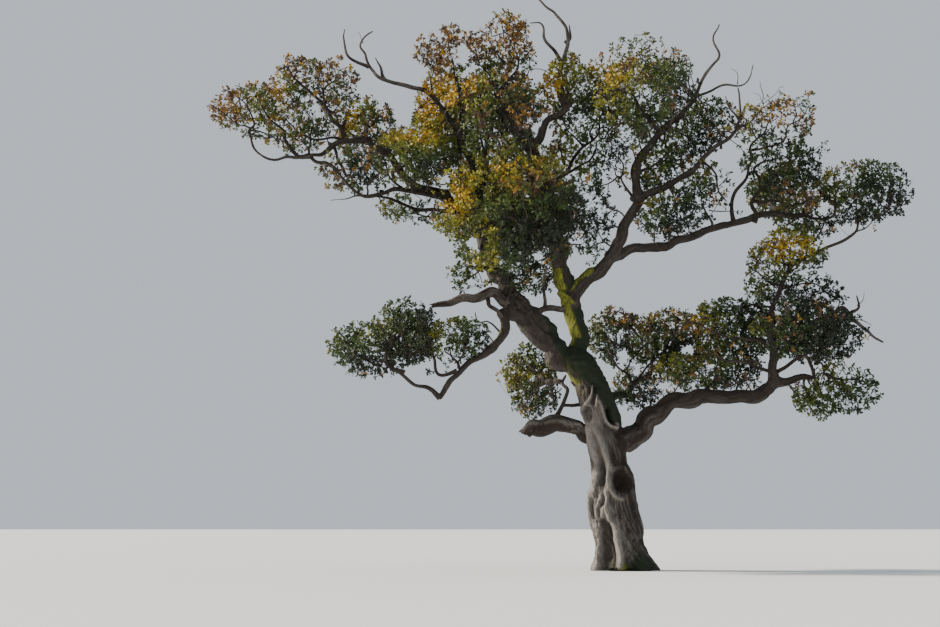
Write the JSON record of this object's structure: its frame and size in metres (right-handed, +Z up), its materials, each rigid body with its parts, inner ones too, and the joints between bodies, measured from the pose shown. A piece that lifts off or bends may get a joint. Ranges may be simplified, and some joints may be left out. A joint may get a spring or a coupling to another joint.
{
  "type": "old oak tree",
  "caption": "Old open-grown oak in autumn with a leaning hollowed trunk, a low fork, crooked spreading boughs, dead antler-like snags and separate clouds of foliage.",
  "frame": {"origin": "in the flat cut under the trunk, at ground level", "axes": "+Z up, +X along the crown's longest spread, to the right of a viewer facing the tree, +Y away from that viewer"},
  "size_m": [27.3592, 14.5747, 22.568],
  "materials": {
    "bark": "rough furrowed grey bark with moss",
    "dead_wood": "weathered bare wood",
    "leaves_gold": "matt autumn leaves",
    "leaves_olive": "matt autumn leaves",
    "leaves_green": "matt late-season leaves",
    "leaves_russet": "matt dry autumn leaves"
  },
  "bodies": {
    "root": {"trunk": "bark", "left_stem": "bark", "right_stem": "bark", "right_low_bough": "bark", "back_low_bough": "bark", "upper_left_bough": "bark", "low_left_bough": "bark", "low_left_outer": "bark", "far_left_bough": "bark", "far_left_outer": "bark", "far_left_rise": "bark", "left_lower_bough": "bark", "antler_bough": "bark", "top_left_arm": "bark", "top_right_arm": "bark", "right_bough": "bark", "dome_bough": "bark", "right_upper_bough": "bark", "far_right_bough": "bark", "right_riser": "bark", "right_low_tip": "bark", "right_upright": "bark", "right_side_arm": "bark", "far_right_arm": "bark", "front_bough": "bark", "back_bough": "bark", "broken_stub": "dead_wood", "broken_limb": "dead_wood", "antler_left": "dead_wood", "antler_top": "dead_wood", "antler_right": "dead_wood", "snag_right": "dead_wood", "dead_branch_right": "dead_wood", "leaves_far_left": "leaves_russet", "leaves_left_peak": "leaves_russet", "leaves_left_crook": "leaves_olive", "leaves_left_lower": "leaves_green", "leaves_left_gold": "leaves_gold", "leaves_top_left": "leaves_russet", "leaves_top": "leaves_olive", "leaves_top_right": "leaves_gold", "leaves_centre": "leaves_gold", "leaves_centre_left": "leaves_green", "leaves_front": "leaves_gold", "leaves_back": "leaves_olive", "leaves_dome": "leaves_olive", "leaves_dome_foot": "leaves_green", "leaves_inner_right": "leaves_green", "leaves_russet": "leaves_russet", "leaves_right_rise": "leaves_green", "leaves_far_right": "leaves_green", "leaves_bright": "leaves_gold", "leaves_right_tuft": "leaves_green", "leaves_right_low": "leaves_olive", "leaves_flat_right": "leaves_olive", "leaves_flat_left": "leaves_green", "leaves_behind": "leaves_olive", "leaves_low_left": "leaves_green", "leaves_low_left_inner": "leaves_olive"}
  },
  "joints": []
}
